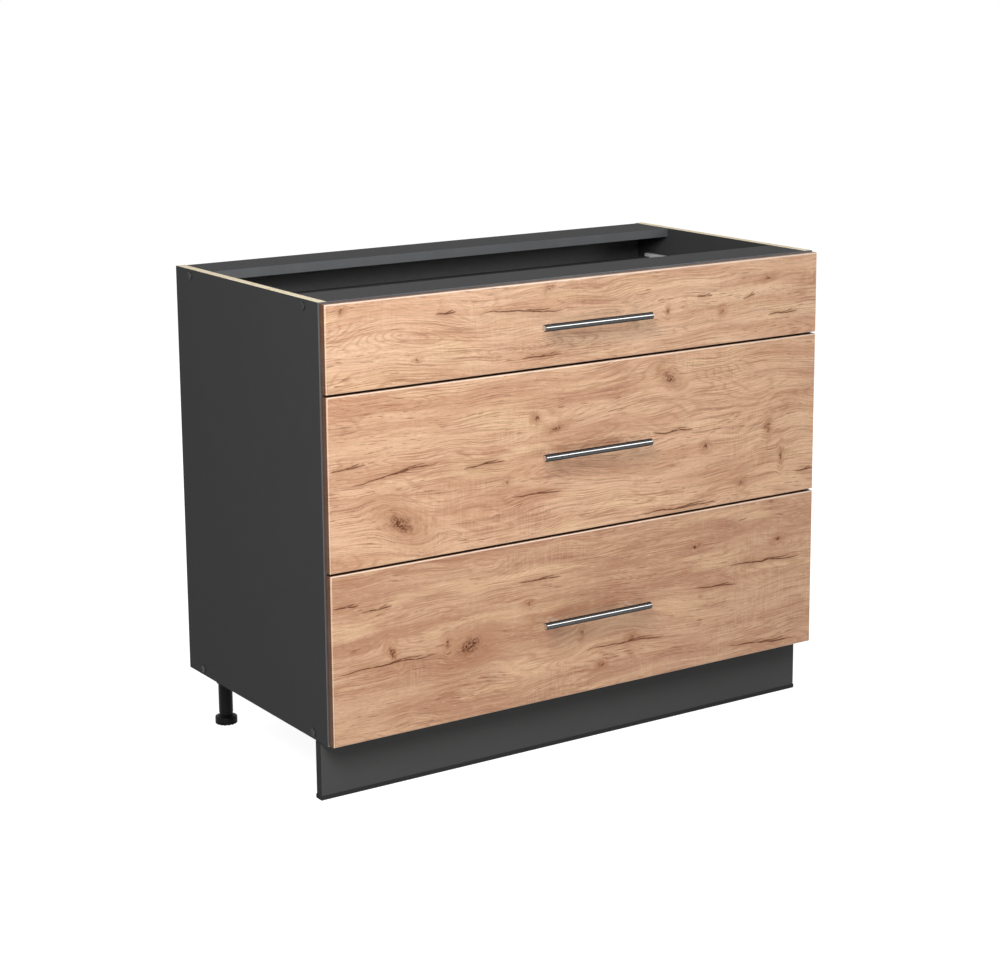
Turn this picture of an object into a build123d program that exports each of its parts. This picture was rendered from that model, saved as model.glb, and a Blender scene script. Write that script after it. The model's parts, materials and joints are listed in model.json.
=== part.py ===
from build123d import *
from math import atan2, degrees
import os

# Kitchen base cabinet with three drawers: a chipboard carcass on four screw feet, a clip-on
# plinth, and drawers with roll-formed steel sides that run on nylon rollers.
# Millimetres. +X is to the right, the drawers open towards -Y and +Z is up. The origin is on
# the floor, under the middle of the whole cabinet's box, handles included.

# Carcass boards
cabinet_width = 1000
carcass_height = 720
carcass_depth = 500
board = 16
rail_width = 94
edge_band = 0.8
back_thickness = 3
back_inset = 5.5
groove_depth = 6
groove_play = 0.2

# Drawer fronts, with the gaps around them
front_thickness = 16
front_standoff = 1
front_reveal = 2
front_gap = 3.5
top_front_height = 142
front_edge_round = 3

# Bar handles
handle_length = 220
handle_diameter = 12
handle_pitch = 160
handle_reach = 30
handle_end_chamfer = 1
post_diameter = 8

# Legs and feet
leg_height = 100
leg_side_inset = 46
leg_rear_inset = 44
tube_diameter = 25
tube_bore = 18
socket_plate = 58
socket_plate_thickness = 3
socket_screw_pitch = 42
socket_depth = 22
socket_wall = 3
socket_flare = 3
foot_diameter = 40
foot_height = 16
foot_rim_height = 13
foot_notches = 8
foot_notch_width = 4
foot_notch_depth = 2.5
foot_stem_length = 40
foot_play = 0.25

# Plinth, its bottom seal and its clips
plinth_setback = 28
plinth_end_inset = 1.5
plinth_floor_gap = 0.5
plinth_top_gap = 1.5
seal_wall = 1
seal_height = 7
seal_overhang = 1
clip_reach = 32
clip_base_width = 44
clip_base_thickness = 3
clip_height = 18
clip_rise = 42
clip_neck_width = 14
clip_wall = 3
clip_mouth = 19

# Roll-formed drawer sides
steel = 1.2
box_clearance = 15.5
box_rear_gap = 42.5
bend_radius = 2
short_side_height = 86
tall_side_height = 150
side_lift = 6
floor_clearance = 12
hem_width = 11
hem_lip = 6
flange_width = 13
track_height = 24
track_width = 11.8
rear_tab_width = 20
rear_tab_margin = 6
back_board_drop = 6
box_play = 0.2
floor_screw_inset = 70

# Front brackets
bracket_width = 12
bracket_length = 45
bracket_thickness = 1.5
bracket_margin = 4

# Runners on the carcass and the nylon rollers
runner_setback = 2
runner_width = 11.5
runner_open_length = 60
runner_top_gap = 1.5
roller_diameter = 20
roller_width = 8
roller_side_gap = 0.5
roller_gap = 0.3
roller_end_distance = 13
axle_diameter = 5
axle_head = 8
axle_head_thickness = 1
axle_fit = 0.1

# Carcass screws, countersunk under a round cover cap
carcass_screw_offset = 3
carcass_screw_head = 9
carcass_screw_head_height = 3
carcass_screw_shank = 5
carcass_screw_length = 50
cap_diameter = 14
cap_height = 1.8
cap_slope = 35

# Pan-head chipboard screws and the handles' machine screws
wood_screw_head = 7
wood_screw_head_height = 2
wood_screw_shank = 3.5
wood_screw_length = 14
handle_screw_head = 8
handle_screw_head_height = 2.4
handle_screw_shank = 4
handle_screw_grip = 9
screw_fit = 0.1

# Side counts of what is drawn with flat sides
head_sides = 6
shank_sides = 4
axle_sides = 8
socket_sides = 12
foot_sides = 16
cap_sides = 16

# Planes that the pieces share, across the cabinet
outer_half = cabinet_width / 2
inner_half = outer_half - board
web_inside = inner_half - box_clearance
web_outside = web_inside + steel

# From the handles at the front to the rear edges of the side panels
overall_depth = handle_diameter / 2 + handle_reach + front_thickness + front_standoff + carcass_depth
bar_y = handle_diameter / 2 - overall_depth / 2
face_y = bar_y + handle_reach
front_rear_y = face_y + front_thickness
carcass_front = front_rear_y + front_standoff
carcass_rear = carcass_front + carcass_depth
back_rear = carcass_rear - back_inset
back_front = back_rear - back_thickness
box_rear = back_front - box_rear_gap
plinth_front = carcass_front + plinth_setback
plinth_rear = plinth_front + board

# From the floor to the top of the carcass
carcass_bottom = leg_height
carcass_top = leg_height + carcass_height
low_front_height = (carcass_height - 2 * front_reveal - top_front_height - 2 * front_gap) / 2

# Where the carcass screws and the legs stand
front_screw_y = carcass_front + rail_width / 2
rear_screw_y = back_front - rail_width / 2
low_screw_z = carcass_bottom + board / 2 + carcass_screw_offset
high_screw_z = carcass_top - board / 2 - carcass_screw_offset
leg_x = outer_half - leg_side_inset
leg_front_y = plinth_rear + clip_reach
leg_rear_y = carcass_rear - leg_rear_inset
LEGS = {
    "front_left": (-leg_x, leg_front_y),
    "front_right": (leg_x, leg_front_y),
    "rear_left": (-leg_x, leg_rear_y),
    "rear_right": (leg_x, leg_rear_y),
}


def write(name, *solids):
    """Write one node, a single solid or a group of separate ones."""
    os.makedirs("parts", exist_ok=True)
    shape = solids[0] if len(solids) == 1 else Compound(list(solids))
    export_step(shape, os.path.join("parts", name + ".step"))


def slab(x_span, y_span, z_span):
    """A board between three pairs of limits."""
    spans = (x_span, y_span, z_span)
    middle = [(low + high) / 2 for low, high in spans]
    size = [high - low for low, high in spans]
    return Pos(*middle) * Box(*size)


def prism(diameter, height, sides):
    """A flat-sided bar along Z from z = 0, as wide as its diameter across the corners."""
    return extrude(RegularPolygon(diameter / 2, sides), amount=height)


def flared(wide, narrow, height, sides):
    """A flat-sided bar along Z from z = 0 that narrows from one radius to another."""
    slope = degrees(atan2(wide - narrow, height))
    return extrude(RegularPolygon(wide, sides), amount=height, taper=slope)


def along_y(outline, start, length, bends=()):
    """A section given as (x, z) points, run from start towards the back, rounded at its bends."""
    section = make_face(Polyline(*outline, close=True))
    for x, z in bends:
        section = fillet(section.vertices().sort_by_distance((x, z, 0))[0], bend_radius)
    return Pos(0, start, 0) * extrude(Plane.XZ * section, amount=length, dir=(0, 1, 0))


def mirrored(solids):
    """The same pieces on the other side of the cabinet."""
    return [mirror(solid, about=Plane.YZ) for solid in solids]


def both_sides(solids):
    return list(solids) + mirrored(solids)


def pan_screw(head, head_height, shank, length, grow=0):
    """A screw along -Z whose head sits on z = 0. With grow it is the hole for that screw."""
    depth = length + grow
    stem = Pos(0, 0, -depth) * prism(shank + 2 * grow, depth, shank_sides)
    return prism(head + 2 * grow, head_height, head_sides) + stem


def wood_screw(grow=0):
    return pan_screw(wood_screw_head, wood_screw_head_height, wood_screw_shank, wood_screw_length, grow)


def handle_screw(grow=0):
    length = front_thickness + handle_screw_grip
    return pan_screw(handle_screw_head, handle_screw_head_height, handle_screw_shank, length, grow)


def carcass_screw(grow=0):
    """A sunk screw along -Z with its head flush at z = 0."""
    screw = pan_screw(
        carcass_screw_head,
        carcass_screw_head_height,
        carcass_screw_shank,
        carcass_screw_length - carcass_screw_head_height,
        grow,
    )
    return Pos(0, 0, -carcass_screw_head_height) * screw


def placed(maker, spots, turn, grow=0):
    """Copies of a screw, or of its hole, at each spot, turned to face its own way."""
    return [Pos(*spot) * turn * maker(grow) for spot in spots]


def drilled(piece, holes):
    """The piece with every hole cut out of it."""
    for hole in holes:
        piece = piece - hole
    return piece


# Carcass

FACING_RIGHT = Rot(0, 90, 0)
FACING_DOWN = Rot(180, 0, 0)
FACING_BACK = Rot(-90, 0, 0)

carcass_screw_spots = [
    (outer_half, y, z) for y in (front_screw_y, rear_screw_y) for z in (low_screw_z, high_screw_z)
]
carcass_screw_holes = both_sides(placed(carcass_screw, carcass_screw_spots, FACING_RIGHT, screw_fit))
right_screw_holes = carcass_screw_holes[:len(carcass_screw_spots)]


class Drawer:
    """The heights of one drawer: its front, its steel box and the rollers under it."""

    def __init__(self, name, front_bottom, front_height, side_height, lift):
        self.name = name
        self.front_bottom = front_bottom
        self.front_top = front_bottom + front_height
        self.handle_z = front_bottom + front_height / 2
        self.box_bottom = front_bottom + lift
        self.box_top = self.box_bottom + side_height
        self.floor_top = self.box_bottom + steel + board
        self.track = self.box_bottom + track_height
        self.roller_z = self.track - roller_gap - roller_diameter / 2
        self.runner_bottom = self.roller_z - roller_diameter / 2 - roller_gap - steel
        self.runner_top = self.track + 2 * steel + runner_top_gap + steel
        self.bracket_bottom = self.runner_top + bracket_margin
        self.bracket_top = self.box_top - hem_lip - bracket_margin


bottom_front = carcass_bottom + front_reveal
middle_front = bottom_front + low_front_height + front_gap
top_front = middle_front + low_front_height + front_gap
bottom_lift = board - front_reveal + floor_clearance
DRAWERS = [
    Drawer("top", top_front, top_front_height, short_side_height, side_lift),
    Drawer("middle", middle_front, low_front_height, tall_side_height, side_lift),
    Drawer("bottom", bottom_front, low_front_height, tall_side_height, bottom_lift),
]

runner_front = carcass_front + runner_setback
cabinet_roller_y = runner_front + roller_end_distance
drawer_roller_y = box_rear - roller_end_distance
runner_screw_ys = (cabinet_roller_y + runner_open_length, drawer_roller_y - runner_open_length)


def runner_screw_spots(drawer):
    """Screw heads on the runner's web, midway between its flanges."""
    z = (drawer.runner_bottom + drawer.runner_top) / 2
    return [(inner_half - steel, y, z) for y in runner_screw_ys]


def runner_screws(drawer, grow=0):
    return placed(wood_screw, runner_screw_spots(drawer), Rot(0, -90, 0), grow)


def right_side_panel():
    """Full-height side with a groove for the back panel and its screw holes."""
    height = (carcass_bottom, carcass_top)
    panel = slab((inner_half, outer_half), (carcass_front + edge_band, carcass_rear), height)
    groove = slab(
        (inner_half, inner_half + groove_depth),
        (back_front - groove_play, back_rear + groove_play),
        height,
    )
    runner_holes = [hole for drawer in DRAWERS for hole in runner_screws(drawer, screw_fit)]
    return drilled(panel, [groove] + right_screw_holes + runner_holes)


def crosspiece(y_span, z_span):
    """A board that spans the sides, with the pilot holes for the carcass screws."""
    return drilled(slab((-inner_half, inner_half), y_span, z_span), carcass_screw_holes)


def socket_screws(grow=0):
    """Four screws up through each leg socket's plate."""
    reach = socket_screw_pitch / 2
    z = carcass_bottom - socket_plate_thickness
    spots = [(x + a, y + b, z) for x, y in LEGS.values() for a in (-reach, reach) for b in (-reach, reach)]
    return placed(wood_screw, spots, FACING_DOWN, grow)


def carcass():
    right = right_side_panel()
    write("right_side_panel", right)
    write("left_side_panel", *mirrored([right]))

    rail_z = (carcass_top - board, carcass_top)
    floor_z = (carcass_bottom, carcass_bottom + board)
    band_front = (carcass_front, carcass_front + edge_band)
    behind_band = carcass_front + edge_band
    write("front_top_rail", crosspiece((behind_band, carcass_front + rail_width), rail_z))
    write("rear_top_rail", crosspiece((back_front - rail_width, back_front), rail_z))
    write("bottom_panel", drilled(crosspiece((behind_band, back_front), floor_z), socket_screws(screw_fit)))

    back_half = inner_half + groove_depth - groove_play
    back_z = (carcass_bottom, carcass_top)
    write("back_panel", slab((-back_half, back_half), (back_front, back_rear), back_z))

    side_band = slab((inner_half, outer_half), band_front, (carcass_bottom, carcass_top))
    cross_bands = [slab((-inner_half, inner_half), band_front, z) for z in (rail_z, floor_z)]
    write("edge_bands", *both_sides([side_band]), *cross_bands)

    write("carcass_screws", *both_sides(placed(carcass_screw, carcass_screw_spots, FACING_RIGHT)))
    caps = [Pos(*spot) * FACING_RIGHT * cover_cap() for spot in carcass_screw_spots]
    write("screw_cover_caps", *both_sides(caps))


def cover_cap():
    """A low disc with sloping sides that hides one carcass screw."""
    return extrude(RegularPolygon(cap_diameter / 2, cap_sides), amount=cap_height, taper=cap_slope)


# Legs and plinth

def leg_socket():
    """A screw-on plate with a flared cup that the leg tube plugs into."""
    under = -socket_plate_thickness
    cup_radius = tube_diameter / 2 + screw_fit
    plate = Pos(0, 0, under / 2) * Box(socket_plate, socket_plate, socket_plate_thickness)
    plate = chamfer(plate.edges().filter_by(Axis.Z), (socket_plate - socket_screw_pitch) / 2)
    mouth = cup_radius + socket_wall
    cup = flared(mouth + socket_flare, mouth, socket_depth, socket_sides)
    bore = extrude(RegularPolygon(cup_radius, socket_sides, major_radius=False), amount=socket_depth)
    return plate + Pos(0, 0, under) * Rot(180, 0, 0) * (cup - bore)


def leg_tube():
    """The hollow leg, from just above the foot up into its socket."""
    bottom = foot_height + foot_play
    length = carcass_bottom - socket_plate_thickness - bottom
    section = Circle(tube_diameter / 2) - RegularPolygon(tube_bore / 2, foot_sides, major_radius=False)
    return Pos(0, 0, bottom) * extrude(section, amount=length)


def foot():
    """A screw foot with a notched rim and a stem that runs up inside the leg tube."""
    radius = foot_diameter / 2
    notch = Rectangle(2 * foot_notch_depth, foot_notch_width)
    disc = RegularPolygon(radius, foot_sides) - PolarLocations(radius, foot_notches) * notch
    rim = extrude(disc, amount=foot_rim_height)
    neck = radius - foot_notch_depth
    shoulder = flared(neck, tube_diameter / 2, foot_height - foot_rim_height, foot_sides)
    stem = Pos(0, 0, foot_height) * prism(tube_bore - 2 * foot_play, foot_stem_length, foot_sides)
    return rim + Pos(0, 0, foot_rim_height) * shoulder + stem


def plinth_clip():
    """A clip that snaps round the leg tube, with a base plate on the back of the plinth."""
    grip = tube_diameter / 2 + screw_fit
    base = Pos(0, -clip_reach + clip_base_thickness / 2) * Rectangle(clip_base_width, clip_base_thickness)
    neck_length = clip_reach - grip
    neck = Pos(0, -clip_reach + neck_length / 2) * Rectangle(clip_neck_width, neck_length)
    ring = Circle(grip + clip_wall)
    mouth = Pos(0, grip) * Rectangle(clip_mouth, 2 * grip)
    return extrude(base + neck + ring - Circle(grip) - mouth, amount=clip_height)


def plinth_seal():
    """A soft U-section pushed over the bottom edge of the plinth."""
    bottom = plinth_floor_gap
    top = bottom + seal_height
    outline = (
        (plinth_front - seal_wall, top),
        (plinth_front - seal_wall, bottom),
        (plinth_rear + seal_wall, bottom),
        (plinth_rear + seal_wall, top),
        (plinth_rear, top),
        (plinth_rear, bottom + seal_wall),
        (plinth_front, bottom + seal_wall),
        (plinth_front, top),
    )
    half = outer_half - plinth_end_inset + seal_overhang
    section = Plane.YZ * make_face(Polyline(*outline, close=True))
    return Pos(-half, 0, 0) * extrude(section, amount=2 * half, dir=(1, 0, 0))


def base():
    socket_holes = socket_screws(screw_fit)
    sockets = [Pos(x, y, carcass_bottom) * leg_socket() for x, y in LEGS.values()]
    write("leg_sockets", *[drilled(socket, socket_holes) for socket in sockets])
    write("leg_tubes", *[Pos(x, y, 0) * leg_tube() for x, y in LEGS.values()])
    for name, (x, y) in LEGS.items():
        write(name + "_foot", Pos(x, y, 0) * foot())
    write("leg_socket_screws", *socket_screws())

    plinth_half = outer_half - plinth_end_inset
    plinth_z = (plinth_floor_gap + seal_wall, carcass_bottom - plinth_top_gap)
    write("plinth_board", slab((-plinth_half, plinth_half), (plinth_front, plinth_rear), plinth_z))
    write("plinth_seal", plinth_seal())
    write("plinth_clips", *[Pos(x, leg_front_y, clip_rise) * plinth_clip() for x in (-leg_x, leg_x)])


# Runners and rollers

def axle(length):
    """A riveted roller axle along -X, from the sheet that carries it to its flat head."""
    stem = prism(axle_diameter, length, axle_sides)
    head = Pos(0, 0, length) * prism(axle_head, axle_head_thickness, axle_sides)
    return Rot(0, -90, 0) * (stem + head)


axle_length = roller_width + 2 * roller_side_gap


def roller():
    """A nylon roller about X, bored to turn freely on its axle."""
    bore = RegularPolygon(axle_diameter / 2 + axle_fit, axle_sides, major_radius=False)
    wheel = extrude(Circle(roller_diameter / 2) - bore, amount=roller_width)
    return Pos(roller_width / 2, 0, 0) * Rot(0, -90, 0) * wheel


def right_runner(drawer):
    """A C-section on the side panel, open on top at the front so that the drawer lifts in."""
    wall = inner_half
    edge = inner_half - runner_width
    low = drawer.runner_bottom
    high = drawer.runner_top
    outline = (
        (wall, low), (wall, high), (edge, high), (edge, high - steel),
        (wall - steel, high - steel), (wall - steel, low + steel), (edge, low + steel), (edge, low),
    )
    channel = along_y(outline, runner_front, box_rear - runner_front)
    entry = slab(
        (edge, wall - steel),
        (runner_front, runner_front + runner_open_length),
        (high - steel, high),
    )
    channel = drilled(channel, [entry] + runner_screws(drawer, screw_fit))
    return channel + Pos(wall - steel, cabinet_roller_y, drawer.roller_z) * axle(axle_length)


def runners():
    for drawer in DRAWERS:
        write(drawer.name + "_cabinet_runners", *both_sides([right_runner(drawer)]))
        roller_x = inner_half - steel - axle_length / 2
        wheel = Pos(roller_x, cabinet_roller_y, drawer.roller_z) * roller()
        write(drawer.name + "_cabinet_rollers", *both_sides([wheel]))
    write("runner_screws", *both_sides([screw for drawer in DRAWERS for screw in runner_screws(drawer)]))


# Drawers

def front_screw_spots(drawer):
    """Two screws through each front bracket into the drawer front."""
    x = web_outside + (bracket_thickness + bracket_width) / 2
    y = front_rear_y + bracket_thickness
    zs = (drawer.bracket_bottom + wood_screw_head, drawer.bracket_top - wood_screw_head)
    return [(x, y, z) for z in zs]


def floor_screw_spots(drawer):
    """Screws up through the side's bottom flange into the drawer floor."""
    x = web_inside - flange_width / 2
    ys = (front_rear_y + floor_screw_inset, box_rear - floor_screw_inset)
    return [(x, y, drawer.box_bottom) for y in ys]


def rear_screw_spots(drawer):
    """Screws through the side's rear tab into the back board."""
    x = web_inside - rear_tab_width / 2
    low = drawer.floor_top + rear_tab_margin + wood_screw_head
    high = drawer.box_top - back_board_drop - rear_tab_margin - wood_screw_head
    return [(x, box_rear + steel, z) for z in (low, high)]


def handle_screw_spots(drawer):
    return [(x, front_rear_y, drawer.handle_z) for x in (-handle_pitch / 2, handle_pitch / 2)]


def box_screws(drawer, grow=0):
    """Every chipboard screw of one drawer's right side."""
    return (
        placed(wood_screw, front_screw_spots(drawer), FACING_BACK, grow)
        + placed(wood_screw, floor_screw_spots(drawer), FACING_DOWN, grow)
        + placed(wood_screw, rear_screw_spots(drawer), FACING_BACK, grow)
    )


def drawer_front(drawer, holes):
    half = outer_half - front_reveal
    panel = slab((-half, half), (face_y, front_rear_y), (drawer.front_bottom, drawer.front_top))
    panel = fillet(panel.faces().sort_by(Axis.Y)[0].edges(), front_edge_round)
    return drilled(panel, holes)


def right_side(drawer, holes):
    """One folded sheet: top hem, web, a doubled track for the roller and a flange under the floor."""
    low = drawer.box_bottom
    high = drawer.box_top
    track = drawer.track
    hem = web_inside + hem_width
    rail = web_inside + track_width
    outline = (
        (web_inside - flange_width, low), (web_outside, low), (web_outside, track), (rail, track),
        (rail, track + 2 * steel), (web_outside, track + 2 * steel), (web_outside, high - steel),
        (hem - steel, high - steel), (hem - steel, high - hem_lip), (hem, high - hem_lip), (hem, high),
        (web_inside, high), (web_inside, low + steel), (web_inside - flange_width, low + steel),
    )
    bends = ((web_inside, high), (hem, high), (web_outside, low))
    sheet = along_y(outline, front_rear_y, box_rear - front_rear_y, bends)
    tab = slab(
        (web_inside - rear_tab_width, web_outside),
        (box_rear, box_rear + steel),
        (drawer.floor_top + rear_tab_margin, drawer.box_top - back_board_drop - rear_tab_margin),
    )
    pivot = Pos(web_outside, drawer_roller_y, drawer.roller_z) * mirror(axle(axle_length), about=Plane.YZ)
    return drilled(sheet + tab, holes) + pivot


def right_bracket(drawer, holes):
    """An angle that joins the steel side to the back of the drawer front."""
    near = web_outside
    far = web_outside + bracket_width
    outline = (
        (near, front_rear_y),
        (far, front_rear_y),
        (far, front_rear_y + bracket_thickness),
        (near + bracket_thickness, front_rear_y + bracket_thickness),
        (near + bracket_thickness, front_rear_y + bracket_length),
        (near, front_rear_y + bracket_length),
    )
    section = make_face(Polyline(*outline, close=True))
    angle = extrude(section, amount=drawer.bracket_top - drawer.bracket_bottom, dir=(0, 0, 1))
    return drilled(Pos(0, 0, drawer.bracket_bottom) * angle, holes)


def handle_bar(drawer):
    bar = Pos(0, bar_y, drawer.handle_z) * Rot(0, 90, 0) * Cylinder(handle_diameter / 2, handle_length)
    return chamfer(bar.edges(), handle_end_chamfer)


def handle_posts(drawer, bar, holes):
    """Two round posts, hollowed at one end to seat on the bar."""
    length = face_y - bar_y
    posts = []
    for x in (-handle_pitch / 2, handle_pitch / 2):
        post = Rot(90, 0, 0) * Cylinder(post_diameter / 2, length)
        post = Pos(x, bar_y + length / 2, drawer.handle_z) * post
        posts.append(drilled(post, [bar] + holes))
    return posts


def drawers():
    for drawer in DRAWERS:
        name = drawer.name
        handle_holes = placed(handle_screw, handle_screw_spots(drawer), FACING_BACK, screw_fit)
        right_holes = box_screws(drawer, screw_fit)
        box_holes = both_sides(right_holes)
        write(name + "_drawer_front", drawer_front(drawer, handle_holes + box_holes))

        bar = handle_bar(drawer)
        write(name + "_handle_bar", bar)
        write(name + "_handle_posts", *handle_posts(drawer, bar, handle_holes))
        write(name + "_handle_screws", *placed(handle_screw, handle_screw_spots(drawer), FACING_BACK))

        side = right_side(drawer, right_holes)
        write(name + "_drawer_side_right", side)
        write(name + "_drawer_side_left", *mirrored([side]))
        write(name + "_front_brackets", *both_sides([right_bracket(drawer, right_holes)]))

        box_half = web_inside - box_play
        floor_z = (drawer.box_bottom + steel, drawer.floor_top)
        floor = slab((-box_half, box_half), (front_rear_y, box_rear), floor_z)
        write(name + "_drawer_floor", drilled(floor, box_holes))
        back_z = (drawer.floor_top, drawer.box_top - back_board_drop)
        back = slab((-box_half, box_half), (box_rear - board, box_rear), back_z)
        write(name + "_drawer_back", drilled(back, box_holes))
        write(name + "_drawer_screws", *both_sides(box_screws(drawer)))

        wheel = mirror(roller(), about=Plane.YZ)
        wheel = Pos(web_outside + axle_length / 2, drawer_roller_y, drawer.roller_z) * wheel
        write(name + "_drawer_rollers", *both_sides([wheel]))


carcass()
base()
runners()
drawers()
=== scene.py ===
# %% [markdown]
# # A kitchen base cabinet with three drawers
# This lesson dresses a packed cabinet: dark melamine boards, rustic oak drawer fronts, steel bar
# handles and black screw feet. The construction is already there as a fixed frame, so the work here
# is finish, light and the small round pieces that the frame draws with flat sides.

# %% Load the frame
import json
import math

import bmesh
import bpy
from mathutils import Matrix, Vector


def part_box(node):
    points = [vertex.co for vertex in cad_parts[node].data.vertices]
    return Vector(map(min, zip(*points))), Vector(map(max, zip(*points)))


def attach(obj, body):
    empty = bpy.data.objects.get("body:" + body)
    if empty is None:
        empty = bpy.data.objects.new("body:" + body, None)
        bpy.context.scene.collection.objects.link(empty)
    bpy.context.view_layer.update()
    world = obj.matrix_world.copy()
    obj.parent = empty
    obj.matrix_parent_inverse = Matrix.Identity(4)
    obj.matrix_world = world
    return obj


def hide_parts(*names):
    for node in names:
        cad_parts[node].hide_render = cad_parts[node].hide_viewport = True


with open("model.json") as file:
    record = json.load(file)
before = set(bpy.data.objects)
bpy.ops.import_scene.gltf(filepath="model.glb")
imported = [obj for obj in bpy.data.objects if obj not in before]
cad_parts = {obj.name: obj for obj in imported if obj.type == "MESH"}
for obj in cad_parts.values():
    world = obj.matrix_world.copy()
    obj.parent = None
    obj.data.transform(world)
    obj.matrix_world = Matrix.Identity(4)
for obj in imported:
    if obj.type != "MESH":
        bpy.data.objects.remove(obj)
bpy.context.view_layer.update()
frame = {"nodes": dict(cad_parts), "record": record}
nodes = frame["nodes"]
MM = 0.001
DRAWERS = ("top", "middle", "bottom")

# %% [markdown]
# ## Camera
# The cabinet is seen from the front left and from above. The picture is a product shot whose upright
# edges stay nearly parallel, which a shifted lens gives. Only a small part of that shift is used, so
# that the cabinet stays in the frame from every other side, and the rest is made by tilting the camera.

# %% Make the camera
camera_place = Vector((-2.182, -3.277, 1.372))
camera_heading = math.radians(33.44)
camera_tilt = math.radians(11.5)
camera_roll = math.radians(-0.43)
camera_lens_mm = 82.3
camera_shift = -0.08

ahead = Vector((
    math.sin(camera_heading) * math.cos(camera_tilt),
    math.cos(camera_heading) * math.cos(camera_tilt),
    -math.sin(camera_tilt),
))
level = Vector((math.cos(camera_heading), -math.sin(camera_heading), 0))
above = level.cross(ahead)
right = level * math.cos(camera_roll) + above * math.sin(camera_roll)
camera_turn = Matrix((right, right.cross(ahead), -ahead)).transposed()

camera = bpy.data.objects.new("camera", bpy.data.cameras.new("camera"))
camera.data.lens = camera_lens_mm
camera.data.shift_y = camera_shift
camera.matrix_world = Matrix.Translation(camera_place) @ camera_turn.to_4x4()
bpy.context.scene.collection.objects.link(camera)
bpy.context.scene.camera = camera
print(f"camera {camera_place.length:.2f} m away with a {camera_lens_mm} mm lens")

# %% [markdown]
# ## Adding nodes
# Every material here is a small program of nodes. One function adds a node, sets its options, fills
# or links its inputs and hands back one output, so that a material reads from top to bottom. Colours
# are written as sRGB hex values and turned to linear light in one place.

# %% One function for nodes, one for colours
def add(tree, kind, inputs=None, out=0, **settings):
    """Add a node with its settings and links, and return one of its outputs, if it has any."""
    made = tree.nodes.new(kind)
    for name, value in settings.items():
        setattr(made, name, value)
    for key, value in (inputs or {}).items():
        if isinstance(value, bpy.types.NodeSocket):
            tree.links.new(value, made.inputs[key])
        else:
            made.inputs[key].default_value = value
    return made.outputs[out] if len(made.outputs) else None


def srgb(code):
    """A hex colour as linear red, green, blue and alpha."""
    parts = [int(code[i:i + 2], 16) / 255 for i in (1, 3, 5)]
    return [p / 12.92 if p <= 0.04045 else ((p + 0.055) / 1.055) ** 2.4 for p in parts] + [1.0]


MATH = "ShaderNodeMath"
VECTOR = "ShaderNodeVectorMath"
MIX = "ShaderNodeMix"
RANGE = "ShaderNodeMapRange"
MIX_A, MIX_B, MIX_COLOUR = 6, 7, 2
print("white is", [round(v, 2) for v in srgb("#ffffff")])


# %% Where a point of the surface lies, and soft noise over it
def new_material(name):
    made = bpy.data.materials.new(name)
    made.use_nodes = True
    made.node_tree.nodes.clear()
    return made


def place_mm(tree):
    """Where a point of the surface is, in millimetres of the cabinet's own frame."""
    metres = add(tree, "ShaderNodeTexCoord", out="Object")
    return add(tree, VECTOR, {0: metres, "Scale": 1 / MM}, operation="SCALE")


def speckle(tree, point, size, detail=2.0, offset=(0, 0, 0), rough=0.55):
    """Soft noise from 0 to 1 whose blotches are as long, deep and tall as size says, in millimetres."""
    spread = add(tree, VECTOR, {0: point, 1: offset}, operation="ADD")
    scaled = add(tree, VECTOR, {0: spread, 1: size}, operation="DIVIDE")
    noise = {"Vector": scaled, "Scale": 1.0, "Detail": detail, "Roughness": rough}
    return add(tree, "ShaderNodeTexNoise", noise)


print(f"sizes in the materials are in millimetres, {1 / MM:.0f} to the metre")

# %% [markdown]
# ## Rustic oak decor
# The drawer fronts are pressed boards wrapped in a printed film of rustic oak, with the grain running across
# the cabinet. A photograph of a board would be the usual way. Here the film is drawn by rule: growth rings
# are the contour lines of a stretched noise, pulled round each knot, with streaks, pores and faint upright
# saw marks over them. The long dark checks and the knots sit at places listed one by one, because those are
# what the eye remembers of a front.

# %% A drying check as a node group
def new_group(name, inputs, outputs):
    """An empty group with named inputs and number outputs, and what its input node gives."""
    group = bpy.data.node_groups.new(name, "ShaderNodeTree")
    for title, kind in inputs:
        group.interface.new_socket(title, in_out="INPUT", socket_type="NodeSocket" + kind)
    for title in outputs:
        group.interface.new_socket(title, in_out="OUTPUT", socket_type="NodeSocketFloat")
    return group, add(group, "NodeGroupInput").node.outputs


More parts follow.
